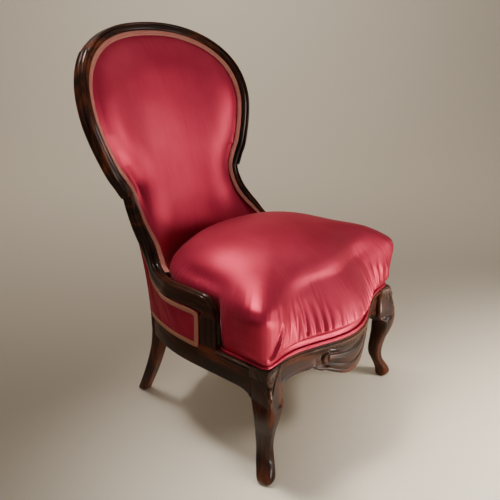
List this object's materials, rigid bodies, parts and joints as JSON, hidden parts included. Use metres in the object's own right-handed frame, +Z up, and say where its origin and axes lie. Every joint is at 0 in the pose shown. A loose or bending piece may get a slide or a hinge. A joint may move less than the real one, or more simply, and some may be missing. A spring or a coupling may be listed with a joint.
{
  "type": "balloon back nursing chair",
  "caption": "Low upholstered chair with a balloon-shaped show-wood back, short swept arms, a serpentine sprung seat, cabriole front legs and raked rear legs.",
  "frame": {"origin": "on the floor under the middle of the chair's bounding box", "axes": "+Z up, -Y the way the sitter faces, +X to the sitter's left"},
  "size_m": [0.5738, 0.7084, 0.9245],
  "materials": {
    "mahogany": "dark red-brown polished mahogany",
    "beech": "bare beech",
    "satin": "crimson satin",
    "braid": "salmon gimp braid",
    "jute": "jute webbing and hessian",
    "hair": "curled hair stuffing",
    "steel": "plain steel wire and screws"
  },
  "bodies": {
    "root": {"crest_rail": "mahogany", "upper_stile_left": "mahogany", "upper_stile_right": "mahogany", "arm_rail_left": "mahogany", "arm_rail_right": "mahogany", "arm_post_left": "mahogany", "arm_post_right": "mahogany", "front_leg_left": "mahogany", "front_leg_right": "mahogany", "rear_leg_left": "mahogany", "rear_leg_right": "mahogany", "front_rail": "mahogany", "side_rail_left": "mahogany", "side_rail_right": "mahogany", "rear_rail": "mahogany", "tacking_rail": "beech", "webbing_batten": "beech", "corner_blocks": "beech", "corner_screws": "steel", "frame_dowels": "beech", "rail_dowels": "beech", "seat_webbing": "jute", "seat_springs": "steel", "spring_hessian": "jute", "seat_stuffing": "hair", "seat_cover": "satin", "seat_piping": "satin", "back_webbing": "jute", "back_hessian": "jute", "back_stuffing": "hair", "inside_back_cover": "satin", "inside_gimp": "braid", "side_panel_left": "satin", "side_panel_right": "satin", "outside_back_cover": "satin", "outside_gimp_left": "braid", "outside_gimp_right": "braid"}
  },
  "joints": []
}
